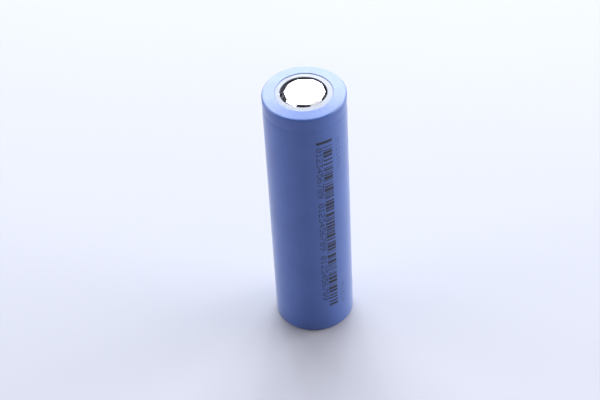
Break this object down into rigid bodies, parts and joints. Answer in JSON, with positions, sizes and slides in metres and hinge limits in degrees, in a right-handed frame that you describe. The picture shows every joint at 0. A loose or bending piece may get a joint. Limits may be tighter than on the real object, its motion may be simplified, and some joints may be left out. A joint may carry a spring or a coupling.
{
  "type": "cylindrical lithium-ion cell",
  "caption": "Cylindrical rechargeable cell in a blue heat-shrunk sleeve, with a flat positive cap inside a white ring and a bare flat base.",
  "frame": {"origin": "centre of the base, in the plane that the cell stands on (the sleeve's bottom fold)", "axes": "+Z along the cell's axis from the negative base to the positive cap; -Y towards the side seen in the picture; +X to that view's right"},
  "size_m": [0.0182, 0.0182, 0.0652],
  "materials": {
    "sleeve_film": "heat-shrunk film, satin, slightly translucent at its folds",
    "fibre_washer": "pressed insulating fibre paper, matt",
    "cap_steel": "nickel-plated, bright satin",
    "can_steel": "nickel-plated deep-drawn steel",
    "gasket_plastic": "moulded polymer, dark",
    "ptc_composite": "carbon-filled polymer with foil faces",
    "vent_aluminium": "stamped, satin",
    "header_plastic": "moulded, white",
    "lead_aluminium": "rolled strip",
    "lead_nickel": "rolled nickel strip",
    "tape_amber": "thin adhesive film",
    "tape_green": "thin adhesive film",
    "insulator_disc": "thin sheet",
    "pin_steel": "rolled stainless tube",
    "cathode_coating": "calendered coating on foil, matt black",
    "anode_coating": "graphite coating on foil, matt dark grey",
    "separator_film": "porous white film"
  },
  "bodies": {
    "cell": {"shrink_sleeve": "sleeve_film", "top_insulator_ring": "fibre_washer", "can": "can_steel", "positive_cap": "cap_steel", "crimp_gasket": "gasket_plastic", "ptc_washer": "ptc_composite", "vent_disc_rim": "vent_aluminium", "cid_insulator_ring": "header_plastic", "cid_plate": "vent_aluminium", "cathode_tab": "lead_aluminium", "cathode_tab_tape": "tape_amber", "upper_insulator": "insulator_disc", "centre_pin": "pin_steel", "cathode_sheet": "cathode_coating", "anode_sheet": "anode_coating", "separator_outer": "separator_film", "separator_inner": "separator_film", "winding_tape": "tape_green", "anode_tab": "lead_nickel", "anode_tab_tape": "tape_amber", "lower_insulator": "insulator_disc"},
    "burst_disc": {"vent_disc_dome": "vent_aluminium"}
  },
  "joints": [
    {"name": "burst_disc_snap", "type": "slide", "parent": "cell", "child": "burst_disc", "axis": [0, 0, 1], "range_m": [0, 0.0008]}
  ]
}
